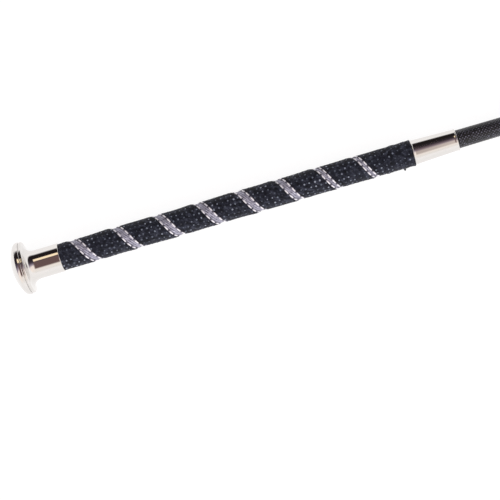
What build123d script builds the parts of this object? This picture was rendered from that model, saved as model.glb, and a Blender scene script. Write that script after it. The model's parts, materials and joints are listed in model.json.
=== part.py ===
from build123d import *
import math
import os

os.makedirs("parts", exist_ok=True)

# Long riding whip with a mushroom cap, a taped grip, a braided shaft and a plaited lash.
# Frame: the whip's axis is X, from the cap towards the lash. The origin is on that axis, in the
# middle of the cap's collar, where a rack's clip holds the whip. +Z is up. Sizes are in mm.

# Running gap that keeps nested and butting pieces apart.
fit_gap = 0.05
# Gap across the lash's pivot.
pivot_gap = 0.3

# Mushroom cap.
crown_radius = 16.7
crown_sphere_radius = 30.5
crown_rim_roll = 2.4
crown_wall = 1.2
crown_rim_height = 3.24
crown_lip = 1.2
seam_groove = 0.3
rim_back_length = 2.0
rim_back_step = 1.3
head_length = 16.3
collar_length = 15.0
collar_step = 0.8
socket_depth = 5.5
tenon_length = 14.0

# Rod and the braid over it.
rod_butt_radius = 4.6
rod_tip_radius = 1.2
cover_thickness_butt = 0.95
cover_thickness_tip = 0.75

# Grip.
grip_length = 226.0
core_wall = 1.35
grip_taper = 0.35
tape_thickness = 0.75
padding_thickness = 0.45
tenon_wall = 0.75
ribbon_pitch = 25.9
ribbon_first_turn = 21.0
ribbon_band_angle = 61.0
ribbon_edge_angle = 12.0
ribbon_inset = 0.3
edge_cord_inset = 0.05
strip_gap_angle = 0.8
binding_length = 14.0
binding_thickness = 0.4
end_wrap_length = 19.0
end_wrap_thickness = 0.6
end_wrap_flare = 0.2

# Ferrule.
ferrule_length = 28.5
ferrule_taper = 1.0
ferrule_wall = 0.6
bush_wall = 0.45
ferrule_bead = 0.35

# Shaft beyond the ferrule, keeper and lash.
shaft_length = 630.0
keeper_cone_length = 31.0
keeper_tube_length = 38.0
keeper_wall = 0.5
tip_in_keeper = 45.0
tail_length = 22.0
keeper_binding_length = 30.0
keeper_binding_wall = 0.3
binding_setback = 4.0
lash_radius = 2.15
lash_core_radius = 0.95
flare_length = 9.0
flare_radius = 4.6
flare_wall = 1.0
fray_length = 4.5
fray_radius = 4.9

# Stations along the axis.
collar_end = collar_length / 2
collar_start = -collar_end
apex = collar_start - head_length
crown_dome_radius = crown_radius - crown_rim_roll
dome_depth = crown_sphere_radius - math.sqrt(crown_sphere_radius**2 - crown_dome_radius**2)
rim_depth = dome_depth + crown_rim_height
seam = apex + rim_depth + crown_lip
socket_floor = collar_end - socket_depth
tenon_end = socket_floor - tenon_length
grip_start = collar_end
grip_end = grip_start + grip_length
ferrule_start = grip_end + fit_gap
ferrule_end = ferrule_start + ferrule_length
keeper_start = ferrule_end + shaft_length
keeper_neck = keeper_start + keeper_cone_length
keeper_mouth = keeper_neck + keeper_tube_length
shaft_tip = keeper_start + tip_in_keeper
lash_pivot = keeper_mouth + lash_radius + pivot_gap / 2

# Radii that follow from the sizes above, from the rod outwards.
rim_back_radius = crown_radius - rim_back_step
cover_radius = rod_butt_radius + fit_gap + cover_thickness_butt
cover_tip_radius = rod_tip_radius + fit_gap + cover_thickness_tip
tenon_radius = cover_radius + fit_gap + tenon_wall
grip_build = tape_thickness + padding_thickness + 2 * fit_gap
grip_radius = cover_radius + fit_gap + core_wall + grip_build
collar_radius = grip_radius + collar_step
ferrule_small_radius = cover_radius + bush_wall + 2 * fit_gap + ferrule_wall
ferrule_big_radius = ferrule_small_radius + ferrule_taper
keeper_bore = max(lash_radius, cover_tip_radius) + keeper_binding_wall + 2 * fit_gap
keeper_radius = keeper_bore + keeper_wall

# The lash's route, from its pivot: straight out of the keeper, then round to its set direction
# and back a little towards the shaft's line. Chosen points, in mm.
lash_points = [(0, 0), (12, -0.2), (25.5, -3.6), (49.5, -10.2), (77.5, -16.7), (104.0, -22.3)]


def turned(points):
    """Solid of revolution about X from (x, radius) corners."""
    return revolve(make_face(Polyline(*points, close=True)), Axis.X)


def tube(start, end, inner, outer):
    """Straight tube along X."""
    return turned([(start, inner), (end, inner), (end, outer), (start, outer)])


def save(shape, node):
    export_step(shape, f"parts/{node}.step")


def crown_outline(shift):
    """Dome edge curves, moved inwards by shift, from the apex to the widest circle."""
    sphere = crown_sphere_radius - shift
    dome = crown_dome_radius * sphere / crown_sphere_radius
    depth = sphere - math.sqrt(sphere**2 - dome**2)
    half = math.asin(dome / sphere) / 2
    middle = (apex + shift + sphere * (1 - math.cos(half)), sphere * math.sin(half))
    edge = (apex + shift + depth, dome)
    slope = (dome, math.sqrt(sphere**2 - dome**2))
    face_arc = ThreePointArc((apex + shift, 0), middle, edge)
    rim_arc = TangentArc(edge, (apex + rim_depth, crown_radius - shift), tangent=slope)
    return face_arc, rim_arc


def cap_crown():
    """Thin domed crown, pressed over the neck's spigot, with a rolled lip."""
    face_arc, rim_arc = crown_outline(0)
    inner_face, inner_rim = crown_outline(crown_wall)
    back = Polyline(
        (apex + rim_depth, crown_radius),
        (seam, crown_radius - 0.25),
        (seam, crown_radius - crown_wall),
        (apex + rim_depth, crown_radius - crown_wall),
    )
    axis_line = Line((apex, 0), (apex + crown_wall, 0))
    outline = [face_arc, rim_arc, back, inner_rim, inner_face, axis_line]
    return revolve(make_face(outline), Axis.X)


def cap_neck():
    """Neck that fills the crown, flares down to the collar and takes the grip's end."""
    shift = crown_wall + fit_gap
    inner_face, inner_rim = crown_outline(shift)
    spigot = crown_radius - shift
    groove_end = seam + seam_groove
    rim_bulge = crown_radius - 0.3
    flare_x = collar_start
    rim_back = (seam + rim_back_length, rim_back_radius)
    flare = TangentArc((flare_x, collar_radius), rim_back, tangent=(-1, 0))
    spigot_lines = Polyline(
        (apex + rim_depth, spigot), (groove_end, spigot), (groove_end, rim_bulge)
    )
    rim_middle = ((groove_end + rim_back[0]) / 2 + 0.2, (rim_bulge + rim_back_radius) / 2 + 0.3)
    rim_arc = ThreePointArc((groove_end, rim_bulge), rim_middle, rim_back)
    tenon_bore = tenon_radius + fit_gap
    socket = grip_radius + 2 * fit_gap
    inside = Polyline(
        (flare_x, collar_radius),
        (collar_end, collar_radius),
        (collar_end, socket),
        (socket_floor, socket),
        (socket_floor, tenon_bore),
        (tenon_end, tenon_bore),
        (tenon_end, 0),
        (apex + shift, 0),
    )
    outline = [inner_face, inner_rim, spigot_lines, rim_arc, flare, inside]
    return revolve(make_face(outline), Axis.X)


def rod_core():
    """Tapered fibreglass rod, plain under the grip, tapered to the keeper."""
    return turned(
        [
            (tenon_end + fit_gap, 0),
            (tenon_end + fit_gap, rod_butt_radius),
            (ferrule_end, rod_butt_radius),
            (keeper_start, rod_tip_radius),
            (shaft_tip, rod_tip_radius),
            (shaft_tip, 0),
        ]
    )


def shaft_cover():
    """Braided cover over the whole rod."""
    start = tenon_end + fit_gap
    return turned(
        [
            (start, rod_butt_radius + fit_gap),
            (start, cover_radius),
            (ferrule_end, cover_radius),
            (keeper_start, cover_tip_radius),
            (shaft_tip, cover_tip_radius),
            (shaft_tip, rod_tip_radius + fit_gap),
            (keeper_start, rod_tip_radius + fit_gap),
            (ferrule_end, rod_butt_radius + fit_gap),
        ]
    )


def grip_layer(start, end, depth, thickness):
    """Tapered tube in the grip, whose outside lies depth below the grip's surface."""
    fall = grip_taper / grip_length

    def surface(x):
        return grip_radius - depth - fall * (x - grip_start)

    return turned(
        [
            (start, surface(start) - thickness),
            (start, surface(start)),
            (end, surface(end)),
            (end, surface(end) - thickness),
        ]
    )


def grip_core():
    """Moulded sleeve on the shaft, with a tenon that goes into the neck."""
    bore = cover_radius + fit_gap
    start = socket_floor + fit_gap
    front = grip_radius - grip_build
    back = front - grip_taper
    return turned(
        [
            (tenon_end + fit_gap, bore),
            (tenon_end + fit_gap, tenon_radius),
            (start, tenon_radius),
            (start, front),
            (grip_end, back),
            (grip_end, bore),
        ]
    )


def sector(inner, outer, middle_angle, width_angle):
    """Part of a ring, round the Z axis, as a face. Angles are in degrees."""
    low = math.radians(middle_angle - width_angle / 2)
    middle = math.radians(middle_angle)
    high = math.radians(middle_angle + width_angle / 2)

    def point(radius, angle):
        return (radius * math.cos(angle), radius * math.sin(angle))

    edges = [
        ThreePointArc(point(outer, low), point(outer, middle), point(outer, high)),
        Line(point(outer, high), point(inner, high)),
        ThreePointArc(point(inner, high), point(inner, middle), point(inner, low)),
        Line(point(inner, low), point(outer, low)),
    ]
    return make_face(edges).face()


def wound_strip(offset_angle, width_angle, inset):
    """Right-handed wound strip on the grip's tapered padding, sunk inset below the tape."""
    start = socket_floor + fit_gap
    end = grip_end - end_wrap_length
    length = end - start
    turn_to_first = 360 * (start - grip_start - ribbon_first_turn) / ribbon_pitch
    angle = -90 + turn_to_first + offset_angle
    blank = sector(grip_radius - 3, grip_radius + 1, angle, width_angle)
    twist = 360 * length / ribbon_pitch
    strip = Solid.extrude_linear_with_rotation(blank, (0, 0, 0), (0, 0, length), twist)
    along_x = Pos(start, 0, 0) * Rot(0, 90, 0) * strip
    thickness = tape_thickness - inset
    return along_x & grip_layer(start, end, inset, thickness)


def grip_tape():
    """Padded tape, wound between the turns of the ribbon."""
    taken = ribbon_band_angle + 2 * ribbon_edge_angle + 4 * strip_gap_angle
    return wound_strip(180, 360 - taken, 0)


def grip_ribbon():
    """Flat woven ribbon."""
    return wound_strip(0, ribbon_band_angle, ribbon_inset)


def ribbon_edge(side):
    """Cord along one edge of the ribbon; side is -1 towards the cap and 1 towards the lash."""
    away = (ribbon_band_angle + ribbon_edge_angle) / 2 + strip_gap_angle
    return wound_strip(side * away, ribbon_edge_angle, edge_cord_inset)


def grip_end_pieces():
    """Thread that ties the ends of tape and ribbon down, and the turns of tape over it."""
    wound_end = grip_end - end_wrap_length + fit_gap
    depth = tape_thickness + fit_gap
    base = grip_radius - depth - grip_taper
    binding = tube(grip_end - binding_length, grip_end, base + fit_gap, base + binding_thickness)
    inner = base + binding_thickness + fit_gap
    outer = inner + end_wrap_thickness
    wrap = turned(
        [
            (wound_end, inner),
            (wound_end, outer),
            (grip_end - 3, outer),
            (grip_end, outer + end_wrap_flare),
            (grip_end, inner),
        ]
    )
    return binding, wrap


def chrome_ferrule():
    """Tapered tube with a rolled bead at each end."""
    big = ferrule_big_radius
    small = ferrule_small_radius
    shell = turned(
        [
            (ferrule_start, big - ferrule_wall),
            (ferrule_start, big),
            (ferrule_end, small),
            (ferrule_end, small - ferrule_wall),
        ]
    )
    for x, radius in ((ferrule_start + ferrule_bead, big), (ferrule_end - ferrule_bead, small)):
        ring = Pos(x, 0, 0) * Rot(0, 90, 0) * Torus(radius - 0.15, ferrule_bead)
        shell += ring
    return shell


def ferrule_bush():
    """Bush that fills the ferrule round the shaft."""
    bore = cover_radius + fit_gap
    wall_gap = ferrule_wall + 4 * fit_gap
    start = ferrule_start + fit_gap
    end = ferrule_end - 2 * ferrule_bead
    fall = (ferrule_big_radius - ferrule_small_radius) / ferrule_length
    front = ferrule_big_radius - wall_gap - fall * (start - ferrule_start)
    back = ferrule_big_radius - wall_gap - fall * (end - ferrule_start)
    return turned([(start, bore), (start, front), (end, back), (end, bore)])


def keeper_sleeve():
    """Shrunk sleeve: a cone on the shaft, then a plain tube up to its mouth."""
    slim = cover_tip_radius + fit_gap
    return turned(
        [
            (keeper_start, slim),
            (keeper_start, slim + keeper_wall / 2),
            (keeper_neck, keeper_radius),
            (keeper_mouth, keeper_radius),
            (keeper_mouth, keeper_bore),
            (keeper_neck, keeper_bore),
        ]
    )


def keeper_binding(tail_start):
    """Thread that ties the lash's tail to the shaft's tip, in the keeper."""
    end = keeper_mouth - binding_setback
    start = end - keeper_binding_length
    outer = keeper_bore - fit_gap
    return turned(
        [
            (start, cover_tip_radius + fit_gap),
            (tail_start, cover_tip_radius + fit_gap),
            (tail_start, lash_radius + fit_gap),
            (end, lash_radius + fit_gap),
            (end, outer),
            (start, outer),
        ]
    )


def lash_paths():
    """The lash's line, its first direction, and its last point and direction."""
    route = [Vector(lash_pivot + x, y, 0) for x, y in lash_points]
    runs = [b - a for a, b in zip(route, route[1:])]
    radii = []
    for first, second in zip(runs, runs[1:]):
        turn = math.radians(first.get_angle(second))
        radii.append(0.45 * min(first.length, second.length) / math.tan(turn / 2))
    print("lash runs", [round(run.length, 1) for run in runs])
    print("lash radii", [round(radius, 1) for radius in radii])
    line = FilletPolyline(*route, radius=radii)
    return line, runs[0], route[-1], runs[-1].normalized()


def round_sweep(line, radius, direction):
    """Round rod along the lash's line."""
    start = line @ 0
    section = Plane(origin=start, z_dir=direction) * Circle(radius)
    return sweep(section, path=line)


def lash_pieces():
    """Plait, its core yarn, the opened end of the plait and the core's frayed ends."""
    line, first, end, heading = lash_paths()
    outer = round_sweep(line, lash_radius, first)
    hollow = round_sweep(line, lash_core_radius + fit_gap, first)
    core = round_sweep(line, lash_core_radius, first)
    ball = Pos(lash_pivot, 0, 0) * Sphere(lash_radius)
    ball -= Pos(lash_pivot + lash_radius / 2, 0, 0) * Box(lash_radius, 9, 9)
    braid = outer - hollow + ball
    area = math.pi * (lash_radius**2)
    print("lash length", round(line.length, 2), "volume", round(outer.volume, 2),
          "section times length", round(area * line.length, 2))
    last = Plane(origin=end + heading * fit_gap, x_dir=heading, z_dir=(0, 0, 1))
    flare = last * turned(
        [
            (0, lash_core_radius + fit_gap),
            (0, lash_radius),
            (flare_length, flare_radius),
            (flare_length, flare_radius - flare_wall),
            (flare_wall, lash_core_radius + fit_gap),
        ]
    )
    fray = last * turned(
        [
            (fit_gap, 0),
            (fit_gap, lash_core_radius),
            (flare_wall, lash_core_radius),
            (flare_length + fit_gap, flare_radius - flare_wall - 2 * fit_gap),
            (flare_length + fit_gap, flare_radius),
            (flare_length + fray_length, fray_radius),
            (flare_length + fray_length, 0),
        ]
    )
    return braid, core, flare, fray


def main():
    save(cap_crown(), "cap_crown")
    save(cap_neck(), "cap_neck")
    save(rod_core(), "rod_core")
    save(shaft_cover(), "shaft_cover")
    save(grip_core(), "grip_core")
    padding_end = grip_end - binding_length - fit_gap
    depth = tape_thickness + fit_gap
    padding = grip_layer(socket_floor + fit_gap, padding_end, depth, padding_thickness)
    save(padding, "grip_padding")
    save(grip_tape(), "grip_tape")
    save(grip_ribbon(), "grip_ribbon")
    save(ribbon_edge(-1), "ribbon_edge_cap_side")
    save(ribbon_edge(1), "ribbon_edge_lash_side")
    binding, wrap = grip_end_pieces()
    save(binding, "grip_end_binding")
    save(wrap, "grip_end_wrap")
    save(chrome_ferrule(), "chrome_ferrule")
    save(ferrule_bush(), "ferrule_bush")
    save(keeper_sleeve(), "keeper_sleeve")
    tail_end = keeper_mouth - pivot_gap / 2
    tail_start = tail_end - tail_length
    save(tube(tail_start, tail_end, 0, lash_radius), "lash_tail")
    save(keeper_binding(tail_start), "keeper_binding")
    braid, core, flare, fray = lash_pieces()
    save(braid, "lash_braid")
    save(core, "lash_core")
    save(flare, "lash_flare")
    save(fray, "lash_fray")


main()
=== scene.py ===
import json
import math
import bpy
import bmesh
import numpy as np
from mathutils import Matrix, Vector


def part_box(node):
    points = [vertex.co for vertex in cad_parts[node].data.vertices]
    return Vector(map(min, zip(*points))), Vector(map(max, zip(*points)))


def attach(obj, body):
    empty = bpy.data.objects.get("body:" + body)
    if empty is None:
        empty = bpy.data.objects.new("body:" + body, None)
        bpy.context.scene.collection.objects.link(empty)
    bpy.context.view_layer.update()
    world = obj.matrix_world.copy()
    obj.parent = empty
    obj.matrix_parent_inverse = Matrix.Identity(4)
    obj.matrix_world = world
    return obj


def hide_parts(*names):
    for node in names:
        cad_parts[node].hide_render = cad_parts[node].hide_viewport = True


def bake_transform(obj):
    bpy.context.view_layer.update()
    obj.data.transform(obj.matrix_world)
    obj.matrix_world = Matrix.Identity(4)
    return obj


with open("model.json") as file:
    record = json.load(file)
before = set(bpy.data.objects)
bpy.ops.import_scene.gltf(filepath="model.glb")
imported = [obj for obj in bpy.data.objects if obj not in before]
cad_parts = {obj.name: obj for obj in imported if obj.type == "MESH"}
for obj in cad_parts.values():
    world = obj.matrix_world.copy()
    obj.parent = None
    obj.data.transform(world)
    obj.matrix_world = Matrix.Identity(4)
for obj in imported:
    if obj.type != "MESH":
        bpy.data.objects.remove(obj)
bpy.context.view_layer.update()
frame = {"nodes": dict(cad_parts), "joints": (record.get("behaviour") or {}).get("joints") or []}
mm = 0.001
print("stage: frame loaded,", len(frame["nodes"]), "nodes")

# places, from the frame
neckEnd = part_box("cap_neck")[1][0]          # the collar's mouth, where the grip starts
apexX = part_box("cap_crown")[0][0]
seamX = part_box("cap_crown")[1][0]
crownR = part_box("cap_crown")[1][2]
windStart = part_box("grip_tape")[0][0]
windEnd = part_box("grip_tape")[1][0]
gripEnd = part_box("grip_end_wrap")[1][0]
ferruleStart, ferruleEnd = (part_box("chrome_ferrule")[k][0] for k in (0, 1))
keeperStart, keeperMouth = (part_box("keeper_sleeve")[k][0] for k in (0, 1))
swingX = next(j for j in frame["joints"] if j["name"] == "lash_swing")["pos_m"][0]


# small helpers
def toLinear(hexColor):
    # sRGB hex to linear RGBA: c/12.92 below 0.04045, else ((c + 0.055)/1.055)^2.4
    c = np.array([int(hexColor[i:i + 2], 16) / 255 for i in (1, 3, 5)])
    c = np.where(c <= 0.04045, c / 12.92, ((c + 0.055) / 1.055) ** 2.4)
    return (*c.tolist(), 1.0)


def arcPoints(centre, radius, start, stop, count):
    # points of a circle: centre + radius * (cos a, sin a), a in degrees from start to stop
    a = np.radians(np.linspace(start, stop, count))
    return np.column_stack([centre[0] + radius * np.cos(a), centre[1] + radius * np.sin(a)])


def linePoints(first, last, count):
    # straight run from first to last, both ends kept
    t = np.linspace(0, 1, count)[:, None]
    return np.array(first) * (1 - t) + np.array(last) * t


def quadGrid(rows, columns):
    # corner indices of each cell of a rows x columns grid of points
    i, j = np.meshgrid(np.arange(rows - 1), np.arange(columns - 1), indexing="ij")
    a = (i * columns + j).ravel()
    return np.column_stack([a, a + columns, a + columns + 1, a + 1])


def meshPiece(name, grids, material, mergeAt=2e-7):
    # each grid is (points rows x columns x 3, uv rows x columns x 2 in mm); seams and poles are merged
    points = np.concatenate([g[0].reshape(-1, 3) for g in grids])
    uvs = np.concatenate([g[1].reshape(-1, 2) for g in grids])
    faces, start = [], 0
    for g in grids:
        faces.append(quadGrid(*g[0].shape[:2]) + start)
        start += g[0].shape[0] * g[0].shape[1]
    faces = np.concatenate(faces)
    mesh = bpy.data.meshes.new(name)
    mesh.from_pydata(points.tolist(), [], faces.tolist())
    layer = mesh.uv_layers.new(name="uvMm")
    layer.data.foreach_set("uv", uvs[faces.ravel()].astype(np.float32).ravel())
    work = bmesh.new()
    work.from_mesh(mesh)
    bmesh.ops.remove_doubles(work, verts=work.verts, dist=mergeAt)
    bmesh.ops.dissolve_degenerate(work, edges=work.edges, dist=mergeAt)
    bmesh.ops.recalc_face_normals(work, faces=work.faces)
    work.to_mesh(mesh)
    work.free()
    mesh.polygons.foreach_set("use_smooth", np.ones(len(mesh.polygons), bool))
    piece = bpy.data.objects.new(name, mesh)
    bpy.context.scene.collection.objects.link(piece)
    piece.data.materials.append(material)
    return piece


def latheGrid(profile, turns=96, wave=None):
    # surface of revolution about X: (x, r cos a, r sin a); wave(x, a) is added to the radius
    a = np.linspace(0, 2 * np.pi, turns + 1)[None, :]
    x = profile[:, 0][:, None] + 0 * a
    r = profile[:, 1][:, None] + 0 * a
    if wave is not None:
        r = r + np.where(r > 0, wave(x, a), 0)
    run = np.concatenate([[0], np.cumsum(np.linalg.norm(np.diff(profile, axis=0), axis=1))])
    around = a * profile[:, 1].max()
    uv = np.stack([run[:, None] + 0 * a, around + 0 * run[:, None]], axis=-1) / mm
    return np.stack([x, r * np.cos(a), r * np.sin(a)], axis=-1), uv


def sharpBy(piece, degrees):
    # edges that turn more than this stay crisp
    limit = math.radians(degrees)
    work = bmesh.new()
    work.from_mesh(piece.data)
    for edge in work.edges:
        if len(edge.link_faces) == 2 and edge.calc_face_angle(0) > limit:
            edge.smooth = False
    work.to_mesh(piece.data)
    work.free()


# camera
# The handle fills the picture from lower left to upper right; the whip runs out of it at the right.
view = dict(
    target=(120.8 * mm, -28.1 * mm, -7.0 * mm),
    place=(162.0 * mm, -266.1 * mm, 1067.3 * mm),
    rollDegrees=26.1,
    lens=128.3,
)


def addCamera():
    ahead = (Vector(view["target"]) - Vector(view["place"])).normalized()
    right = ahead.cross(Vector((0, 0, 1))).normalized()
    up = right.cross(ahead)
    c, s = (f(math.radians(view["rollDegrees"])) for f in (math.cos, math.sin))
    rolledRight, rolledUp = right * c - up * s, right * s + up * c
    turn = Matrix((rolledRight, rolledUp, -ahead)).transposed().to_4x4()
    lens = bpy.data.cameras.new("camera")
    lens.lens = view["lens"]
    lens.sensor_width = 36
    lens.clip_end = 100
    camera = bpy.data.objects.new("camera", lens)
    camera.matrix_world = Matrix.Translation(view["place"]) @ turn
    bpy.context.scene.collection.objects.link(camera)
    bpy.context.scene.camera = camera


addCamera()
print("stage: camera")


# material builder
def addNode(tree, kind, settings=None, inputs=None, outputs=None):
    # one node: its settings, its inputs (a number, a colour or another node's output), and the sockets
    # its outputs feed; "stops" are the places and hex colours of a colour ramp
    node = tree.nodes.new(kind)
    for name, value in (settings or {}).items():
        if name == "stops":
            marks = node.color_ramp.elements
            while len(marks) < len(value):
                marks.new(0.5)
            for mark, (place, color) in zip(marks, value):
                mark.position, mark.color = place, toLinear(color)
        else:
            setattr(node, name, value)
    for name, value in (inputs or {}).items():
        if isinstance(value, bpy.types.NodeSocket):
            tree.links.new(value, node.inputs[name])
        else:
            node.inputs[name].default_value = value
    for name, socket in (outputs or {}).items():
        tree.links.new(node.outputs[name], socket)
    return node


def newMaterial(name, **sockets):
    material = bpy.data.materials.new(name)
    material.use_nodes = True
    tree = material.node_tree
    shader = tree.nodes["Principled BSDF"]
    for socket, value in sockets.items():
        shader.inputs[socket.replace("_", " ")].default_value = value
    return material, tree, shader.inputs


def chromePlate():
    # Bright chrome plate on brass, buffed: a mirror with faint haze and hairline wipe marks
    material, tree, skin = newMaterial("buffedChromePlate", Metallic=1.0, Base_Color=toLinear("#e2dfdc"))
    place = addNode(tree, "ShaderNodeTexCoord").outputs["Object"]
    haze = addNode(tree, "ShaderNodeTexNoise", {}, {"Vector": place, "Scale": 160.0, "Detail": 4.0})
    addNode(tree, "ShaderNodeMapRange", {}, {"Value": haze.outputs["Fac"], "To Min": 0.05, "To Max": 0.11},
            {"Result": skin["Roughness"]})
    stretch = addNode(tree, "ShaderNodeMapping", {}, {"Vector": place, "Scale": (60, 900, 900)})
    wipe = addNode(tree, "ShaderNodeTexNoise", {}, {"Vector": stretch.outputs["Vector"], "Scale": 1.0,
                                                    "Detail": 2.0})
    addNode(tree, "ShaderNodeBump", {}, {"Height": wipe.outputs["Fac"], "Distance": 0.006 * mm,
                                         "Strength": 0.4}, {"Normal": skin["Normal"]})
    return material


def gripTapeSkin():
    # Matt polyurethane tape, embossed with a pebble grain: near-black blue, rubbed paler on its bumps.
    # Real pebbles are 0.5 mm; drawn at 0.8 mm to show, over slow patches some 3 mm wide
    material, tree, skin = newMaterial("pebbledGripTape", Roughness=0.8, Sheen_Weight=0.06,
                                       Sheen_Roughness=0.5, Specular_IOR_Level=0.25)
    uv = addNode(tree, "ShaderNodeUVMap", {"uv_map": "uvMm"}).outputs["UV"]
    patch = addNode(tree, "ShaderNodeTexNoise", {}, {"Vector": uv, "Scale": 0.33, "Detail": 6.0,
                                                     "Roughness": 0.75})
    addNode(tree, "ShaderNodeValToRGB", {"stops": [(0.36, "#06070b"), (0.5, "#191c28"), (0.66, "#434756")]},
            {"Fac": patch.outputs["Fac"]}, {"Color": skin["Base Color"]})
    grain = addNode(tree, "ShaderNodeTexVoronoi", {"feature": "SMOOTH_F1"},
                    {"Vector": uv, "Scale": 1.25, "Smoothness": 0.4})
    addNode(tree, "ShaderNodeBump", {}, {"Height": grain.outputs["Distance"], "Distance": 0.2 * mm,
                                         "Strength": 0.9}, {"Normal": skin["Normal"]})
    return material


def dotRubber():
    # Silicone dots printed on the tape: grey, satin, some rubbed darker than others
    material, tree, skin = newMaterial("printedGripDot", Roughness=0.5)
    place = addNode(tree, "ShaderNodeTexCoord").outputs["Object"]
    cloud = addNode(tree, "ShaderNodeTexNoise", {}, {"Vector": place, "Scale": 170.0})
    addNode(tree, "ShaderNodeValToRGB", {"stops": [(0.36, "#252934"), (0.5, "#586070"), (0.66, "#9aa1b2")]},
            {"Fac": cloud.outputs["Fac"]}, {"Color": skin["Base Color"]})
    return material


def metalRibbon():
    # Flat ribbon of blue-lilac metallised yarn, plain weave; 0.45 mm yarns, drawn at 0.9 mm to show
    material, tree, skin = newMaterial("wovenMetalRibbon", Roughness=0.42, Metallic=0.25)
    uv = addNode(tree, "ShaderNodeUVMap", {"uv_map": "uvMm"}).outputs["UV"]
    turned = addNode(tree, "ShaderNodeMapping", {}, {"Vector": uv, "Rotation": (0, 0, math.radians(40))})
    weave = addNode(tree, "ShaderNodeTexChecker", {}, {"Vector": turned.outputs["Vector"], "Scale": 1.1})
    patch = addNode(tree, "ShaderNodeTexNoise", {}, {"Vector": uv, "Scale": 0.45, "Detail": 5.0,
                                                     "Roughness": 0.65})
    both = addNode(tree, "ShaderNodeMath", {"operation": "MULTIPLY_ADD"},
                   {0: weave.outputs["Fac"], 1: 0.22, 2: patch.outputs["Fac"]})
    addNode(tree, "ShaderNodeValToRGB", {"stops": [(0.36, "#454356"), (0.6, "#8f8e9f"), (0.85, "#d0cfe4")]},
            {"Fac": both.outputs["Value"]}, {"Color": skin["Base Color"]})
    addNode(tree, "ShaderNodeBump", {}, {"Height": weave.outputs["Fac"], "Distance": 0.12 * mm,
                                         "Strength": 0.7}, {"Normal": skin["Normal"]})
    return material


def silverStitch():
    # Silver-white filament cord that edges the ribbon: bright stitches with dark gaps between them
    material, tree, skin = newMaterial("silverEdgeStitch", Roughness=0.34, Metallic=0.1)
    uv = addNode(tree, "ShaderNodeUVMap", {"uv_map": "uvMm"}).outputs["UV"]
    along = addNode(tree, "ShaderNodeSeparateXYZ", {}, {"Vector": uv}).outputs["X"]
    beat = addNode(tree, "ShaderNodeMath", {"operation": "FRACT"}, {0: along})
    addNode(tree, "ShaderNodeValToRGB", {"stops": [(0.0, "#3a3846"), (0.18, "#9f9cab"), (0.36, "#f8f6fc"),
                                                   (0.8, "#eceaf4"), (0.94, "#3a3846")]},
            {"Fac": beat.outputs["Value"]}, {"Color": skin["Base Color"]})
    return material


def nylonBraid(name, creviceShade, middle, crownHighlight, pitch, depth):
    # Tubular braid of filament nylon: small satin lozenges with a painted highlight on their crowns and
    # painted shade in the creases between them; pitch is one lozenge
    material, tree, skin = newMaterial(name, Roughness=0.46, Sheen_Weight=0.25, Sheen_Roughness=0.4)
    uv = addNode(tree, "ShaderNodeUVMap", {"uv_map": "uvMm"}).outputs["UV"]
    turned = addNode(tree, "ShaderNodeMapping", {}, {"Vector": uv, "Rotation": (0, 0, math.radians(45)),
                                                     "Scale": (1 / pitch,) * 3})
    lozenge = addNode(tree, "ShaderNodeTexVoronoi", {"voronoi_dimensions": "2D"},
                      {"Vector": turned.outputs["Vector"], "Scale": 1.0, "Randomness": 0.18})
    fleck = addNode(tree, "ShaderNodeTexNoise", {}, {"Vector": uv, "Scale": 0.9, "Detail": 3.0})
    # painted shading: each lozenge is drawn paler at its crown and darker at its edges, over random flecks of
    # tone
    fleckAndShading = addNode(tree, "ShaderNodeMath", {"operation": "MULTIPLY_ADD"},
                    {0: lozenge.outputs["Distance"], 1: -0.9, 2: fleck.outputs["Fac"]})
    # the first colour is painted shade between the lozenges, the last a painted highlight on their crowns
    addNode(tree, "ShaderNodeValToRGB", {"stops": [(0.0, creviceShade), (0.25, middle), (0.5, crownHighlight)]},
            {"Fac": fleckAndShading.outputs["Value"]}, {"Color": skin["Base Color"]})
    addNode(tree, "ShaderNodeBump", {}, {"Height": lozenge.outputs["Distance"], "Distance": -depth * mm,
                                         "Strength": 0.8}, {"Normal": skin["Normal"]})
    return material


def cloudedFinish(name, stops, rough, scale, depth=0.05, sheen=0.0):
    # One soft colour variation at the given noise scale, with a shallow bump of the same cloud
    material, tree, skin = newMaterial(name, Roughness=rough, Sheen_Weight=sheen)
    place = addNode(tree, "ShaderNodeTexCoord").outputs["Object"]
    cloud = addNode(tree, "ShaderNodeTexNoise", {}, {"Vector": place, "Scale": scale, "Detail": 3.0})
    places = np.linspace(0.3, 0.7, len(stops)).tolist()
    addNode(tree, "ShaderNodeValToRGB", {"stops": list(zip(places, stops))},
            {"Fac": cloud.outputs["Fac"]}, {"Color": skin["Base Color"]})
    addNode(tree, "ShaderNodeBump", {}, {"Height": cloud.outputs["Fac"], "Distance": depth * mm,
                                         "Strength": 0.4}, {"Normal": skin["Normal"]})
    return material


chrome = chromePlate()
tapeSkin = gripTapeSkin()
print("stage: materials")

# lash
plait = dict(
    # the lash's route from its pivot, as in the CAD source
    route=[(0, 0), (12, -0.2), (25.5, -3.6), (49.5, -10.2), (77.5, -16.7), (104.0, -22.3)],
    radius=2.15, strandRadius=0.56, weaveDepth=0.24, perFamily=4, layLength=13.0, step=0.4,
    strandSides=8, heartRadius=1.6, heartSides=12,
    # the opened end, which begins a little inside the plait
    flareLength=9.0, flareRadius=4.1, flareSunk=0.3, flareRows=26, thinning=0.86,
    # the yarn ends: how many from each strand and from the core, their spread and their fineness
    frayLength=4.2, strandHairs=9, coreHairs=8, coreRow=-12, coreReach=3.0, lean=0.32, curl=0.6,
    rootSpread=0.18, hairRadius=0.16, hairRows=7, hairSides=5,
    # the stretch beside the keeper's mouth, by the hinge
    bendBefore=1.0, bendAfter=9.0,
)
pointRadius = 1e-9
# of these colours the last is a painted highlight on the lozenges' crowns and the first painted shade between
# them
lashSkin = nylonBraid("plaitedNylonCord", "#10151e", "#2c3645", "#8c98a8", 0.9, 0.04)


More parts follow.
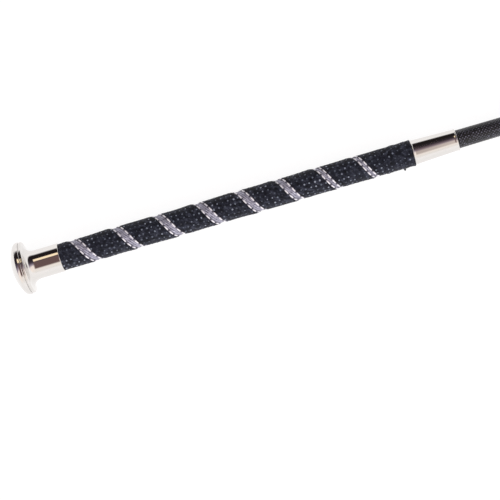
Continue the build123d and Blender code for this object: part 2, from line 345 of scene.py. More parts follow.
def lashLine():
    # the route as one smooth NURBS curve, read back as a list of points
    curve = bpy.data.curves.new("lashRoute", "CURVE")
    curve.dimensions = "3D"
    curve.resolution_u = 24
    spline = curve.splines.new("NURBS")
    points = [(keeperMouth, 0.0, 0.0)]
    points += [(swingX + x * mm, y * mm, 0.0) for x, y in plait["route"]]
    spline.points.add(len(points) - 1)
    spline.points.foreach_set("co", np.array([(*p, 1.0) for p in points]).ravel())
    spline.order_u = 3
    spline.use_endpoint_u = True
    guide = bpy.data.objects.new("lashRoute", curve)
    bpy.context.scene.collection.objects.link(guide)
    bpy.context.view_layer.update()
    mesh = bpy.data.meshes.new_from_object(guide)
    line = np.empty(len(mesh.vertices) * 3)
    mesh.vertices.foreach_get("co", line)
    bpy.data.objects.remove(guide)
    bpy.data.meshes.remove(mesh)
    return line.reshape(-1, 3)


def evenly(line, step):
    # the same line at even steps along its length
    run = np.concatenate([[0], np.cumsum(np.linalg.norm(np.diff(line, axis=0), axis=1))])
    at = np.linspace(0, run[-1], max(2, int(round(run[-1] / step)) + 1))
    return np.column_stack([np.interp(at, run, line[:, k]) for k in range(3)]), at


def sideAndUp(line):
    # side and up of a line that lies flat: side = up x tangent
    tangent = np.gradient(line, axis=0)
    tangent /= np.linalg.norm(tangent, axis=1, keepdims=True)
    up = np.tile([0.0, 0.0, 1.0], (len(line), 1))
    return np.cross(up, tangent), up


def tubeGrid(line, radii, sides):
    # round tube along any line; each ring stands across it, turned from Z, or from X on a steep line
    tangent = np.gradient(line, axis=0)
    tangent /= np.maximum(np.linalg.norm(tangent, axis=1, keepdims=True), 1e-12)
    helper = np.where(np.abs(tangent[:, 2:3]) > 0.9, [[1.0, 0, 0]], [[0, 0, 1.0]])
    side = np.cross(helper, tangent)
    side /= np.linalg.norm(side, axis=1, keepdims=True)
    over = np.cross(tangent, side)
    a = np.linspace(0, 2 * np.pi, sides + 1)
    ring = side[:, None] * np.cos(a)[None, :, None] + over[:, None] * np.sin(a)[None, :, None]
    points = line[:, None] + ring * np.asarray(radii)[:, None, None]
    run = np.concatenate([[0], np.cumsum(np.linalg.norm(np.diff(line, axis=0), axis=1))])
    width = float(np.max(radii)) * a
    uv = np.stack([run[:, None] + 0 * a, width + 0 * run[:, None]], axis=-1) / mm
    return points, uv


def strandLines(centre, along, radiusOf, start):
    # strand k of one family: centre + r (cos t side + sin t up), t = hand 2 pi (s / lay) + 2 pi k / n
    # r = radiusOf(s) + hand depth cos(2 pi n s / lay), so the families pass over and under each other
    side, up = sideAndUp(centre)
    n, lay = plait["perFamily"], plait["layLength"] * mm
    s = along + start
    lines = []
    for hand in (1, -1):
        for k in range(n):
            t = 2 * np.pi * (hand * s / lay + k / n)
            r = radiusOf(along) + hand * plait["weaveDepth"] * mm * np.cos(2 * np.pi * n * s / lay)
            lines.append(centre + (r * np.cos(t))[:, None] * side + (r * np.sin(t))[:, None] * up)
    return lines


def roundedEnds(count, radius):
    # radius along a strand, closed to a point over the last few rings at both ends
    radii = np.full(count, radius)
    radii[[0, -1]] = pointRadius
    radii[[1, -2]] = radius * 0.75
    return radii


def cutYarn():
    # cut ends of tan and copper yarn, matt and hairy
    return cloudedFinish("cutCopperYarn", ["#7d4c38", "#bb8261", "#ecd2ba"], 0.7, 900.0, sheen=0.4)


def yarnEnds(opened, flareLine, heading):
    # a tuft from each opened strand, and a fuller one of core yarn from the middle of the flare; a hair
    # runs first + long (t out + curl t^2 lean fray / long)
    rng = np.random.default_rng(7)
    fray = plait["frayLength"] * mm
    middle = flareLine[plait["coreRow"]]
    roots = [(p[-2], p[-1] - p[-3]) for p in opened for _ in range(plait["strandHairs"])]
    roots += [(middle, (p[-1] - middle) * 0.8 + heading * plait["coreReach"] * mm)
              for p in opened for _ in range(plait["coreHairs"])]
    hairs = []
    for root, out in roots:
        out = out / np.linalg.norm(out)
        lean = rng.normal(0, plait["lean"], 3)
        long = fray * rng.uniform(0.55, 1.0)
        if root is middle:
            long += np.linalg.norm(root - opened[0][-2])
        t = np.linspace(0, 1, plait["hairRows"])[:, None]
        first = root + rng.normal(0, plait["rootSpread"], 3) * mm
        hair = first + long * (t * out + plait["curl"] * t ** 2 * lean * fray / long)
        radii = roundedEnds(plait["hairRows"], plait["hairRadius"] * mm)
        hairs.append(tubeGrid(hair, radii, plait["hairSides"]))
    return hairs


def buildLash():
    line, along = evenly(lashLine(), plait["step"] * mm)
    rootRadius = (plait["radius"] - plait["strandRadius"]) * mm
    strands = strandLines(line, along, lambda s: rootRadius + 0 * s, 0.0)
    grids = [tubeGrid(p, roundedEnds(len(p), plait["strandRadius"] * mm), plait["strandSides"])
             for p in strands]
    # a plain heart under the strands closes the gaps between them
    grids.append(tubeGrid(line, roundedEnds(len(line), plait["heartRadius"] * mm), plait["heartSides"]))
    lash = meshPiece("lashPlait", grids, lashSkin)
    heading = line[-1] - line[-2]
    heading /= np.linalg.norm(heading)
    flareAlong = np.linspace(0, plait["flareLength"] * mm, plait["flareRows"])
    flareLine = line[-1] + (flareAlong - plait["flareSunk"] * mm)[:, None] * heading
    spread = (plait["flareRadius"] - plait["radius"] + plait["strandRadius"]) * mm

    def flareRadius(s):
        # opens like a bell: root + spread (s / length)^1.5
        t = s / (plait["flareLength"] * mm)
        return rootRadius + spread * t ** 1.5

    opened = strandLines(flareLine, flareAlong, flareRadius, along[-1])
    thin = plait["strandRadius"] * plait["thinning"] * mm
    flare = meshPiece("lashFlare", [tubeGrid(p, roundedEnds(len(p), thin), plait["strandSides"])
                                    for p in opened], lashSkin)
    fray = meshPiece("lashFray", yarnEnds(opened, flareLine, heading), cutYarn())
    for piece, node in ((flare, "lash_flare"), (fray, "lash_fray")):
        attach(piece, "lash")
        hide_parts(node)
    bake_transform(lash)
    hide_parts("lash_braid", "lash_core")


buildLash()
print("stage: lash")

# mushroom cap
cap = dict(
    sphere=30.5, rimRoll=2.4, wall=1.2, rimDepth=6.8, rimBackDepth=10.0, rimBackStep=1.3,
    lip=0.45, groove=0.5, grooveDepth=0.7, cheekDepth=0.55, cheekDrop=0.3, fit=0.05,
    head=16.3, collarRadius=9.1, collarEdge=0.4, socketRadius=8.4, socketDepth=5.5, socketEdge=0.1,
    crispOver=40, around=192,
)


def bend(first, pull, last, count):
    # curve from first to last that leaves and arrives along the lines to pull:
    # (1 - t)^2 first + 2 t (1 - t) pull + t^2 last; the first point is left out
    t = np.linspace(0, 1, count + 1)[1:, None]
    return (1 - t) ** 2 * np.asarray(first) + 2 * t * (1 - t) * np.asarray(pull) + t ** 2 * np.asarray(last)


def crownOutline(inside):
    # a shallow dome, its rolled rim, the lip at the seam and the thin shell's back
    sphere, dome = cap["sphere"] * mm, crownR - cap["rimRoll"] * mm
    wall, lip = cap["wall"] * mm, cap["lip"] * mm
    rim = apexX + cap["rimDepth"] * mm
    tilt = math.asin(dome / sphere)
    face = arcPoints((apexX + sphere, 0), sphere, 180, 180 - math.degrees(tilt), 44)
    knee = (face[-1][0] + (crownR - dome) * math.tan(tilt), crownR)
    roll = bend(face[-1], knee, (rim, crownR), 18)
    edge = arcPoints((seamX - lip, crownR - lip), lip, 90, 0, 8)
    back = np.array([[seamX, inside], [rim, inside], [apexX + 2 * wall, dome * 0.6], [apexX + wall, 0]])
    return np.concatenate([face, roll, edge, back])


def neckOutline(inside):
    # spigot in the crown, groove at the seam, rounded rim, concave flare, collar, mouth and socket
    fit, edge = cap["fit"] * mm, cap["collarEdge"] * mm
    spigot, bottom = inside - fit, crownR - cap["grooveDepth"] * mm
    shoulder = seamX + cap["groove"] * mm
    start = np.array([[apexX + cap["wall"] * mm + fit, 0], [apexX + cap["rimDepth"] * mm, spigot],
                      [seamX + 0.02 * mm, spigot], [seamX + 0.1 * mm, bottom], [shoulder, bottom]])
    rimTop = crownR - cap["cheekDrop"] * mm
    rimBack = np.array([apexX + cap["rimBackDepth"] * mm, crownR - cap["rimBackStep"] * mm])
    cheek = bend(start[-1], (shoulder, rimTop), (shoulder + cap["cheekDepth"] * mm, rimTop), 6)
    fall = bend(cheek[-1], (rimBack[0] - 0.1 * mm, rimTop), rimBack, 14)
    collarR, collarStart = cap["collarRadius"] * mm, apexX + cap["head"] * mm
    flare = bend(rimBack, (rimBack[0], collarR), (collarStart, collarR), 36)
    body = linePoints(flare[-1], (neckEnd - edge, collarR), 12)[1:]
    mouth = arcPoints((neckEnd - edge, collarR - edge), edge, 90, 0, 8)[1:]
    socket, ease = cap["socketRadius"] * mm, cap["socketEdge"] * mm
    floor = neckEnd - cap["socketDepth"] * mm
    inner = np.array([[neckEnd, socket + ease], [neckEnd - ease, socket], [floor, socket], [floor, 0]])
    return np.concatenate([start, cheek, fall, flare, body, mouth, inner])


def capPieces():
    inside = crownR - cap["wall"] * mm
    crown = meshPiece("capCrown", [latheGrid(crownOutline(inside), cap["around"])], chrome)
    neck = meshPiece("capNeck", [latheGrid(neckOutline(inside), cap["around"])], chrome)
    for piece, node in ((crown, "cap_crown"), (neck, "cap_neck")):
        sharpBy(piece, cap["crispOver"])
        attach(piece, "whip")
        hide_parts(node)


capPieces()
print("stage: cap")

# grip: tape, ribbon, edge cords, dots and end wrap
grip = dict(
    radius=8.3, taper=0.35, tapeDepth=0.75, ribbonDepth=0.6,
    firstTurn=16.0, firstPitch=27.45, pitchFall=0.25, frontAngle=76.0,
    turns=(-1.3, 7.8), ribbonHalf=2.1, ribbonTucked=1.15, tuckedFrom=4.2, tuckedOver=2.6,
    edgeWidth=0.85, seam=0.06, perTurn=96, swell=0.38, swellFar=0.08, edgeTuck=0.45, tuckShare=0.02,
    slackWide=0.07, slackFine=0.05, ribbonCrown=0.14, tapeRow=40, ribbonRow=10, insideRow=4,
)


# a slanting turn is this much longer than a plain ring: sqrt(1 + (pitch / 2 pi r)^2)
windStretch = math.sqrt(1 + (grip["firstPitch"] / (2 * np.pi * grip["radius"])) ** 2)


def woundX(turn):
    # ribbon's centre line: x = first + pitch n - fall n^2, the pitch shrinks a little at each turn n
    return neckEnd + (grip["firstTurn"] + grip["firstPitch"] * turn - grip["pitchFall"] * turn ** 2) * mm


def ribbonReach(turn):
    # half of the ribbon's bare width: full, then tucked under the tape over the last turns
    t = np.clip((turn - grip["tuckedFrom"]) / grip["tuckedOver"], 0, 1)
    return (grip["ribbonHalf"] - grip["ribbonTucked"] * t * t * (3 - 2 * t)) * mm


def bandReach(turn):
    return ribbonReach(turn) + grip["edgeWidth"] * mm


def woundAngle(turn):
    # turn 0 lies on top of the grip, frontAngle degrees above the -Y side; the winding is right-handed
    return math.radians(-90 - grip["frontAngle"]) + 2 * np.pi * turn


def gripRadius(x):
    # the grip's outside, tapered in a straight line
    return (grip["radius"] - grip["taper"] * (x - neckEnd) / (gripEnd - neckEnd)) * mm


def onGrip(x, radius, angle):
    return np.stack([x, radius * np.sin(angle), -radius * np.cos(angle)], axis=-1)


def windGrid(leftOf, rightOf, outerOf, innerDepth, turns, across):
    # closed strip wound on the grip: w goes from its left edge to its right edge on the outside and
    # back inside; x is held between the winding's two ends. Of the rows wholly past an end only the
    # nearest is kept, where the strip has no width and so is closed
    n = np.linspace(turns[0], turns[1], int((turns[1] - turns[0]) * grip["perTurn"]) + 1)[:, None]
    inner = grip["insideRow"]
    w = np.concatenate([np.linspace(0, 1, across), np.linspace(1, 0, inner)])[None, :]
    outside = np.concatenate([np.ones(across, bool), np.zeros(inner, bool)])[None, :]
    seen = np.flatnonzero((rightOf(n) > windStart) & (leftOf(n) < windEnd))
    n = n[max(seen[0] - 1, 0):seen[-1] + 2]
    left, right = leftOf(n), rightOf(n)
    x = np.clip(left + (right - left) * w, windStart, windEnd)
    share = np.clip((x - left) / (right - left), 0, 1)
    radius = np.where(outside, outerOf(x, share, n), gripRadius(x) - innerDepth)
    radius, x = (np.concatenate([v, v[:, :1]], axis=1) for v in (radius, x))
    points = onGrip(x, radius, woundAngle(n) + 0 * x)
    run = 2 * np.pi * n * grip["radius"] * windStretch
    return points, np.stack([run + 0 * x, (x - left) / mm / windStretch], axis=-1)


def tapeOuter(x, share, n):
    # padded crown: a swell that is highest just before the next ribbon, tucked down at both edges,
    # with slow slack waves: far share^3 + near (1 - share)^4 - tuck at the edges + two sines
    far = share ** 3 * grip["swell"] + (1 - share) ** 4 * grip["swellFar"]
    tuck = np.exp(-share / grip["tuckShare"]) + np.exp(-(1 - share) / grip["tuckShare"])
    slack = grip["slackWide"] * np.sin(2 * np.pi * (n * 1.37 + share * 0.7))
    slack = slack + grip["slackFine"] * np.sin(9.1 * n + 4 * share)
    return gripRadius(x) + (far - grip["edgeTuck"] * tuck + slack) * mm


def ribbonOuter(x, share, n):
    # flat ribbon, sunk below the tape, a little crowned: 1 - (2 share - 1)^2
    return gripRadius(x) - (grip["ribbonDepth"] - grip["ribbonCrown"] * (1 - (2 * share - 1) ** 2)) * mm


def buildGrip():
    depth, gap = grip["tapeDepth"] * mm, grip["seam"] * mm
    # the tape lies lash-side of its ribbon turn, so it starts one turn earlier
    tapeTurns = (grip["turns"][0] - 1, grip["turns"][1])
    tape = meshPiece("gripTape", [windGrid(lambda n: woundX(n) + bandReach(n) + gap,
                                           lambda n: woundX(n + 1) - bandReach(n + 1) - gap,
                                           tapeOuter, depth, tapeTurns, grip["tapeRow"])], tapeSkin)
    ribbon = meshPiece("gripRibbon", [windGrid(lambda n: woundX(n) - ribbonReach(n) + gap,
                                               lambda n: woundX(n) + ribbonReach(n) - gap,
                                               ribbonOuter, depth, grip["turns"], grip["ribbonRow"])],
                       metalRibbon())
    stitchSkin = silverStitch()
    stitches("ribbonEdgeCapSide", "ribbon_edge_cap_side", -1, stitchSkin)
    stitches("ribbonEdgeLashSide", "ribbon_edge_lash_side", 1, stitchSkin)
    for piece, node, slotName in ((tape, "grip_tape", "grip_tape"), (ribbon, "grip_ribbon", "silver_ribbon")):
        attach(piece, "whip")
        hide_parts(node)


stitch = dict(lengthMm=4.4, radius=0.47, pinch=0.42, pinchShare=0.09, flatness=0.72, sunk=0.25,
              endGap=0.5, firstBeat=10, sideShift=0.37, perTurn=220, sides=10)


def stitches(name, node, side, material):
    # edge cord: a tube along the ribbon's edge whose radius dips where one stitch ends and the next starts:
    # r = radius (1 - pinch exp(-(distance from the joint / pinchShare)^2)), its height times flatness
    n = np.linspace(*grip["turns"], int((grip["turns"][1] - grip["turns"][0]) * stitch["perTurn"]) + 1)
    x = woundX(n) + side * (ribbonReach(n) + grip["edgeWidth"] / 2 * mm)
    keep = (x > windStart + stitch["endGap"] * mm) & (x < windEnd - stitch["endGap"] * mm)
    n, x = n[keep], x[keep]
    angle = woundAngle(n)
    line = onGrip(x, gripRadius(x) - stitch["sunk"] * mm, angle)
    run = np.concatenate([[0], np.cumsum(np.linalg.norm(np.diff(line, axis=0), axis=1))]) / mm
    beat = run / stitch["lengthMm"] + stitch["firstBeat"] + stitch["sideShift"] * side
    phase = beat % 1
    dip = np.exp(-(np.minimum(phase, 1 - phase) / stitch["pinchShare"]) ** 2)
    radii = stitch["radius"] * mm * (1 - stitch["pinch"] * dip)
    radii[[0, -1]] = pointRadius
    tangent = np.gradient(line, axis=0)
    tangent /= np.linalg.norm(tangent, axis=1, keepdims=True)
    out = onGrip(0 * x, 1.0, angle)
    across = np.cross(out, tangent)
    a = np.linspace(0, 2 * np.pi, stitch["sides"] + 1)
    high = stitch["flatness"] * out[:, None] * np.sin(a)[None, :, None]
    points = line[:, None] + (across[:, None] * np.cos(a)[None, :, None] + high) * radii[:, None, None]
    uv = np.stack([beat[:, None] + 0 * a, a + 0 * run[:, None]], axis=-1)
    cord = meshPiece(name, [(points, uv)], material)
    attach(cord, "whip")
    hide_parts(node)


endWrap = dict(rise=0.1, flare=0.28, ripple=0.07, lapStep=0.16, lapTurns=2.2, tuck=0.35, tuckShare=0.02,
               around=128, rows=60)


def wrapOuter(x, angle):
    # plain turns of the same tape: radius = grip's + rise + a flare at the end + ripples that slant
    # once round, and each turn's overlap as a low step
    u = (x - windEnd) / (gripEnd - windEnd)
    a = angle - np.pi / 2
    lap = 0.5 + 0.5 * np.tanh(((u * endWrap["lapTurns"] - a / (2 * np.pi)) % 1 - 0.5) * 18)
    waves = np.sin(2 * a + 19 * u) + 0.7 * np.sin(5 * a - 11 * u) + 0.5 * np.sin(9 * a + 31 * u)
    tuck = endWrap["tuck"] * np.exp(-u / endWrap["tuckShare"])
    lift = endWrap["rise"] + endWrap["flare"] * u ** 8 - tuck
    return gripRadius(x) + (lift + endWrap["ripple"] * waves + endWrap["lapStep"] * (lap - 0.5)) * mm


def gripEndWrap():
    rows, turns = endWrap["rows"], endWrap["around"]
    x = np.linspace(windEnd, gripEnd, rows)[:, None]
    angle = np.linspace(0, 2 * np.pi, turns + 1)[None, :]
    outer = wrapOuter(x, angle)
    inner = gripRadius(x) - grip["tapeDepth"] * mm + 0 * angle
    radius = np.concatenate([outer, inner[::-1], outer[:1]])
    xs = np.concatenate([x, x[::-1], x[:1]]) + 0 * angle
    uv = np.stack([angle * grip["radius"] + 0 * xs, xs / mm], axis=-1)
    wrap = meshPiece("gripEndWrap", [(onGrip(xs, radius, angle + 0 * xs), uv)], tapeSkin)
    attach(wrap, "whip")
    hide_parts("grip_end_wrap")


stub = dict(at=218.9, angle=-76.0, length=1.9, sunk=0.6, lean=0.5, radius=0.62, rows=9, sides=12)


def threadStub():
    # the tail of the tape's binding thread, cut short, stands out of the end wrap
    x, angle = neckEnd + stub["at"] * mm, math.radians(stub["angle"])
    rise = np.linspace(-stub["sunk"], stub["length"] - stub["sunk"], stub["rows"]) * mm
    lean = np.linspace(0, stub["lean"], stub["rows"]) ** 2 * mm
    line = onGrip(x + lean, wrapOuter(x, angle) + rise, angle + 0 * rise)
    radii = roundedEnds(stub["rows"], stub["radius"] * mm)
    tail = meshPiece("threadStub", [tubeGrid(line, radii, stub["sides"])], tapeSkin)
    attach(tail, "whip")


dots = dict(pitchAlong=3.5, pitchAcross=2.9, rows=9, shift=0.7, jitter=0.22, border=0.8,
            radius=0.66, height=0.16, foot=-0.04, root=-0.15, rings=2, sides=9,
            wrapPitch=2.9, wrapTurn=0.41, wrapJitter=(0.04, 0.2))


def tapeSurface(x, angle):
    # the tape's outside at any place on the grip
    n = (angle - woundAngle(0)) / (2 * np.pi)
    left, right = woundX(n) + bandReach(n), woundX(n + 1) - bandReach(n + 1)
    return tapeOuter(x, (x - left) / (right - left), n)


def dotDomes(x, angle, size, surface):
    # low closed dome on the surface at each (x, angle): height (1 - (r / size)^2), its foot just below
    a = np.linspace(0, 2 * np.pi, dots["sides"] + 1)[None, None, :]
    r = np.concatenate([[0], np.linspace(1, 0, dots["rings"] + 1)])[None, :, None]
    lift = dots["height"] * (1 - r ** 2)
    lift[0, 0], lift[0, 1] = dots["root"], dots["foot"]
    dx, dy = size[:, None, None] * r * np.cos(a), size[:, None, None] * r * np.sin(a)
    xx, turn = x[:, None, None] + dx, angle[:, None, None] + dy / (grip["radius"] * mm)
    points = onGrip(xx, surface(xx, turn) + lift * mm, turn)
    uv = np.stack([dx, dy], axis=-1) / mm
    return [(points[q], uv[q]) for q in range(len(x))]


def tapeDots():
    # rubber dots in slanting rows along the tape: dot (i, k) lies pitchAlong i along the strip and
    # pitchAcross (k + shift i) across it, each a little off its place
    turnLength = 2 * np.pi * grip["radius"] * windStretch
    first, last = grip["turns"]
    rng = np.random.default_rng(11)
    i = np.arange(int((last - first) * turnLength / dots["pitchAlong"]))[:, None]
    n = first + i * dots["pitchAlong"] / turnLength
    step = dots["pitchAcross"] * windStretch * mm
    x = woundX(n) + bandReach(n) + (np.arange(dots["rows"])[None, :] + (dots["shift"] * i) % 1) * step
    off = rng.normal(0, dots["jitter"], (2, *x.shape))
    x, n = x + off[0] * mm, n + off[1] / turnLength
    border = dots["border"] * mm
    low, high = woundX(n) + bandReach(n), woundX(n + 1) - bandReach(n + 1)
    keep = (x > np.maximum(low, windStart) + border) & (x < np.minimum(high, windEnd) - border)
    x, angle = x[keep], woundAngle(n[keep])
    grids = dotDomes(x, angle, dots["radius"] * mm * rng.uniform(0.75, 1.15, len(x)), tapeSurface)
    # and on the end wrap, in tighter rows
    m = np.arange(int((gripEnd - windEnd) / mm / dots["wrapPitch"] * 2 * np.pi / dots["wrapTurn"]))
    turnJitter, xJitter = dots["wrapJitter"]
    angle = m * dots["wrapTurn"] + rng.normal(0, turnJitter, len(m))
    x = windEnd + m * dots["wrapTurn"] / (2 * np.pi) * dots["wrapPitch"] * mm
    x = x + rng.normal(0, xJitter, len(m)) * mm
    keep = (x > windEnd + border) & (x < gripEnd - border)
    x, angle = x[keep], angle[keep]
    grids += dotDomes(x, angle, dots["radius"] * mm * rng.uniform(0.6, 1.1, len(x)), wrapOuter)
    piece = meshPiece("tapeDots", grids, dotRubber())
    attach(piece, "whip")


buildGrip()
gripEndWrap()
threadStub()
tapeDots()
print("stage: grip")

# ferrule
ferrule = dict(bigRadius=7.75, smallRadius=6.75, wall=0.6, bead=0.42, beadSunk=0.4, waist=(0.25, 0.05),
               around=128)


def buildFerrule():
    # a plain cone between two rolled beads
    big, small, wall, bead = (ferrule[k] * mm for k in ("bigRadius", "smallRadius", "wall", "bead"))
    sunk, (waistRun, waistDrop) = bead * ferrule["beadSunk"], ferrule["waist"]
    left = arcPoints((ferruleStart + bead, big - sunk), bead, 200, 20, 14)
    right = arcPoints((ferruleEnd - bead, small - sunk), bead, 160, -20, 14)
    inner = linePoints((ferruleEnd - bead, small - wall), (ferruleStart + bead, big - wall), 4)
    between = linePoints(left[-1] + np.array([waistRun, -waistDrop]) * mm,
                         right[0] - np.array([waistRun, waistDrop]) * mm, 30)
    outline = np.concatenate([left, between, right, inner, left[:1]])
    piece = meshPiece("chromeFerrule", [latheGrid(outline, ferrule["around"])], chrome)
    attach(piece, "whip")
    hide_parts("chrome_ferrule")


buildFerrule()
print("stage: ferrule")

# shaft cover
braid = dict(buttRadius=5.6, tipRadius=2.0, perHand=16, relief=0.03, bore=0.8, hiddenStep=8,
             start=-11.95, tip=937.05)


def shaftRadius(x):
    # plain up to the ferrule's end, then tapered in a straight line to the keeper
    share = np.clip((x - ferruleEnd) / (keeperStart - ferruleEnd), 0, 1)
    return (braid["buttRadius"] + (braid["tipRadius"] - braid["buttRadius"]) * share) * mm


def buildShaftCover():
    # braid as a lattice: rings stand half a strand apart, pi r / perHand, and every other point of the
    # lattice lies high, every other one low: r (1 +- relief), so each crossing is one small lozenge
    first, last, spacing = braid["start"] * mm, braid["tip"] * mm, math.pi / braid["perHand"]
    x = [first]
    while x[-1] < last:
        hidden = x[-1] < ferruleEnd - 2 * mm or x[-1] > keeperStart + 3 * mm
        x.append(x[-1] + (braid["hiddenStep"] if hidden else 1) * spacing * float(shaftRadius(x[-1])))
    x = np.array(x[:-1] + [last])
    i, j = np.arange(len(x))[:, None], np.arange(2 * braid["perHand"] + 1)[None, :]
    r = shaftRadius(x)[:, None] * (1 + braid["relief"] * (1 - 2.0 * ((i + j) % 2)))
    a = np.pi * j / braid["perHand"]
    points = np.stack([x[:, None] + 0 * a, r * np.cos(a), r * np.sin(a)], axis=-1)
    uv = np.stack([i + 0.0 * j, j + 0.0 * i], axis=-1)
    ends = [np.repeat(points[k][None], 2, axis=0) for k in (0, -1)]
    for end in ends:
        end[1, :, 1:] *= braid["bore"]
    lids = [(end, np.repeat(uv[k][None], 2, axis=0)) for end, k in zip(ends, (0, -1))]
    bore = np.stack([ends[0][1], ends[1][1]])
    # of the braid's colours the last is a painted highlight on the lozenges' crowns and the first painted
    # shade between them
    piece = meshPiece("shaftBraid", [(points, uv), *lids, (bore, np.stack([uv[0], uv[-1]]))],
                      nylonBraid("tightNylonBraid", "#040508", "#14151c", "#777689", 1.3, 0.14))
    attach(piece, "whip")
    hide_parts("shaft_cover")


buildShaftCover()
print("stage: shaft")

# keeper
keeper = dict(neckAt=31.0, neckEase=6.0, mouthRadius=3.05, slimRadius=2.3, wall=0.5, lip=0.2, fit=0.05,
              ringDepth=0.02, crispOver=50, around=64)


def buildKeeper():
    # shrunk sleeve: a cone on the shaft, an eased shoulder, a tube, its rounded mouth and its bore;
    # faint uneven rings show the thread inside: sum of three sines along x
    slim, mouthR = keeper["slimRadius"] * mm, keeper["mouthRadius"] * mm
    neck = keeperStart + keeper["neckAt"] * mm
    lip, fit, easeRun = (keeper[k] * mm for k in ("lip", "fit", "neckEase"))
    bore = braid["tipRadius"] * mm + fit
    start = np.array([[keeperStart, bore], [keeperStart, slim - 0.1 * mm], [keeperStart + 0.15 * mm, slim]])
    coneTop = mouthR - (mouthR - slim) * keeper["neckEase"] / keeper["neckAt"]
    cone = linePoints(start[-1], (neck - easeRun, coneTop), 70)[1:]
    ease = bend(cone[-1], (neck, mouthR), (neck + easeRun, mouthR), 24)
    run = linePoints(ease[-1], (keeperMouth - lip, mouthR), 90)[1:]
    mouth = arcPoints((keeperMouth - lip, mouthR - lip), lip, 90, 0, 6)[1:]
    inner = mouthR - keeper["wall"] * mm
    back = np.array([[keeperMouth - fit, inner], [neck, inner], [keeperStart, bore]])
    profile = np.concatenate([start, cone, ease, run, mouth, back])
    outer = len(profile) - len(back)

    def wave(x, a):
        u = (x - keeperStart) / mm
        rings = np.sin(2.9 * u) + 0.7 * np.sin(4.7 * u + 1) + 0.6 * np.sin(1.3 * u + 0.8 * np.sin(a))
        soft = np.clip((keeperMouth - x) / (2 * mm), 0, 1) * np.clip((x - keeperStart) / (3 * mm), 0, 1)
        outside = (np.arange(len(profile)) < outer)[:, None]
        return keeper["ringDepth"] * mm * rings * soft * outside

    # heat-shrunk polyolefin: slate, satin, a little uneven
    sleeve = cloudedFinish("shrunkKeeperSleeve", ["#2a3340", "#394453", "#525e6f"], 0.36, 350.0, depth=0.1)
    piece = meshPiece("keeperSleeve", [latheGrid(profile, keeper["around"], wave)], sleeve)
    sharpBy(piece, keeper["crispOver"])
    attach(piece, "whip")
    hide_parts("keeper_sleeve")


buildKeeper()
print("stage: keeper")

# pieces kept from the CAD, mostly out of sight: their nodes, finish, colours, roughness, noise scale
keptFinishes = [
    (["rod_core"], "pultrudedGlassRod", ["#b9b294", "#d8d2b8"], 0.35, 300.0),
    (["grip_core"], "mouldedCoreRubber", ["#121214", "#242428"], 0.7, 250.0),
    (["grip_padding"], "foamUnderlay", ["#1c1c20", "#34343a"], 0.9, 900.0),
    (["grip_end_binding", "keeper_binding"], "waxedThread", ["#0c0c10", "#22222a"], 0.55, 1500.0),
    (["ferrule_bush"], "mouldedNylonBush", ["#101013", "#1f1f24"], 0.45, 400.0),
    (["lash_tail"], "plaitedCordTail", ["#171b24", "#4b5361"], 0.6, 900.0),
]
for nodeNames, *finish in keptFinishes:
    skin = cloudedFinish(*finish)
    for nodeName in nodeNames:
        for place in frame["nodes"][nodeName].material_slots:
            place.material = skin
print("stage: kept pieces")

# floor and light
studio = dict(
    floorGlow=0.88, floorReachX=(-6.0, 8.0), floorHalfWidth=7, floorGap=0.2,
    keyPower=28, keySize=2.6, keyPlace=(0.15, -0.8, 1.9), keyAim=(0.15, 0.0, 0.0), surroundings=1.3,
    # the room by its direction across the whip, from -Y (0) over the zenith (0.5) to +Y (1)
    room=[(0.0, "#cdcbc7"), (0.04, "#e6e2de"), (0.2, "#f3e8e0"), (0.35, "#efe3dd"), (0.44, "#9c909c"),
          (0.525, "#635a66"), (0.6, "#3c353e"), (0.7, "#2a2428"), (0.85, "#1c1819"), (1.0, "#241f20")],
    # soft patches of it, each: middle, half width and edge along X, the same along Y, colour
    patches=[((-0.1, 0.12, 0.26), (-0.26, 0.34, 0.18), "#64504f"),
             ((-0.11, 0.15, 0.07), (0.39, 0.1, 0.07), "#ffe9c6")],
    # the band round the horizon: its colour, how high it fades, and where it ends past the cap
    horizon="#f0eeee", horizonFrom=0.16, horizonTo=0.42, bandFrom=-0.75, bandTo=-0.35,
)


def addFloor():
    # pale floor that touches the cap's rim and the tip end: a plane tilted a little about Y
    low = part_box("cap_crown")[0][2]
    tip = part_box("lash_flare")
    tilt = (tip[0][2] * 0.7 - low) / (tip[1][0] - apexX)
    x, half = np.array(studio["floorReachX"]), studio["floorHalfWidth"]
    z = low + (x - apexX) * tilt - studio["floorGap"] * mm
    corners = [(x[0], -half, z[0]), (x[1], -half, z[1]), (x[1], half, z[1]), (x[0], half, z[0])]
    mesh = bpy.data.meshes.new("floor")
    mesh.from_pydata(corners, [], [(0, 1, 2, 3)])
    floor = bpy.data.objects.new("floor", mesh)
    bpy.context.scene.collection.objects.link(floor)
    # pale card: a matt grey base with a glow of its own, which keeps shadows faint
    material = newMaterial("paleFloor", Roughness=0.9, Base_Color=toLinear("#7c7c7d"),
                           Emission_Color=toLinear("#ffffff"), Emission_Strength=studio["floorGlow"])[0]
    floor.data.materials.append(material)


def addLamp():
    # one wide softbox over the near side; it lights the whip but isn't mirrored in the chrome
    light = bpy.data.lights.new("softbox", "AREA")
    light.shape = "RECTANGLE"
    light.size = light.size_y = studio["keySize"]
    light.energy = studio["keyPower"]
    lamp = bpy.data.objects.new("softbox", light)
    place = Vector(studio["keyPlace"])
    turn = (place - Vector(studio["keyAim"])).to_track_quat("Z", "Y").to_matrix().to_4x4()
    lamp.matrix_world = Matrix.Translation(place) @ turn
    lamp.visible_camera = lamp.visible_glossy = False
    bpy.context.scene.collection.objects.link(lamp)


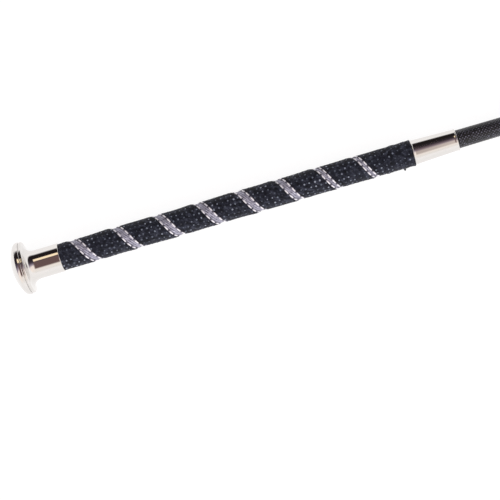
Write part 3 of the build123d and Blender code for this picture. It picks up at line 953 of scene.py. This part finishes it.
def addRoom():
    # a plain studio: bright near side, dark far side, a pale band round the horizon except past the
    # cap and, overhead, one dim gap between the lights and one warm strip
    world = bpy.data.worlds.new("studio")
    bpy.context.scene.world = world
    world.use_nodes = True
    tree = world.node_tree
    tree.nodes.clear()
    ray = addNode(tree, "ShaderNodeTexCoord").outputs["Generated"]
    part = addNode(tree, "ShaderNodeSeparateXYZ", {}, {"Vector": ray}).outputs
    across = addNode(tree, "ShaderNodeMapRange", {}, {"Value": part["Y"], "From Min": -1.0,
                                                      "From Max": 1.0})
    color = addNode(tree, "ShaderNodeValToRGB", {"stops": studio["room"]},
                    {"Fac": across.outputs["Result"]}).outputs["Color"]
    for alongX, alongY, tint in studio["patches"]:
        fade = []
        for axis, (middle, half, edge) in (("X", alongX), ("Y", alongY)):
            away = addNode(tree, "ShaderNodeMath", {"operation": "SUBTRACT"}, {0: part[axis], 1: middle})
            size = addNode(tree, "ShaderNodeMath", {"operation": "ABSOLUTE"}, {0: away.outputs["Value"]})
            fade.append(addNode(tree, "ShaderNodeMapRange", {"interpolation_type": "SMOOTHSTEP"},
                                {"Value": size.outputs["Value"], "From Min": half, "From Max": half + edge,
                                 "To Min": 1.0, "To Max": 0.0}).outputs["Result"])
        both = addNode(tree, "ShaderNodeMath", {"operation": "MULTIPLY"}, {0: fade[0], 1: fade[1]})
        color = addNode(tree, "ShaderNodeMixRGB", {}, {"Fac": both.outputs["Value"], "Color1": color,
                                                       "Color2": toLinear(tint)}).outputs["Color"]
    low = addNode(tree, "ShaderNodeMapRange", {"interpolation_type": "SMOOTHSTEP"},
                  {"Value": part["Z"], "From Min": studio["horizonFrom"], "From Max": studio["horizonTo"],
                   "To Min": 1.0, "To Max": 0.0})
    ahead = addNode(tree, "ShaderNodeMapRange", {"interpolation_type": "SMOOTHSTEP"},
                    {"Value": part["X"], "From Min": studio["bandFrom"], "From Max": studio["bandTo"]})
    band = addNode(tree, "ShaderNodeMath", {"operation": "MULTIPLY"},
                   {0: low.outputs["Result"], 1: ahead.outputs["Result"]})
    color = addNode(tree, "ShaderNodeMixRGB", {}, {"Fac": band.outputs["Value"], "Color1": color,
                                                   "Color2": toLinear(studio["horizon"])}).outputs["Color"]
    glow = addNode(tree, "ShaderNodeBackground", {}, {"Color": color, "Strength": studio["surroundings"]})
    addNode(tree, "ShaderNodeOutputWorld", {}, {"Surface": glow.outputs["Background"]})


addFloor()
addRoom()
addLamp()
bpy.context.scene.view_settings.view_transform = "Standard"
print("stage: floor and light")
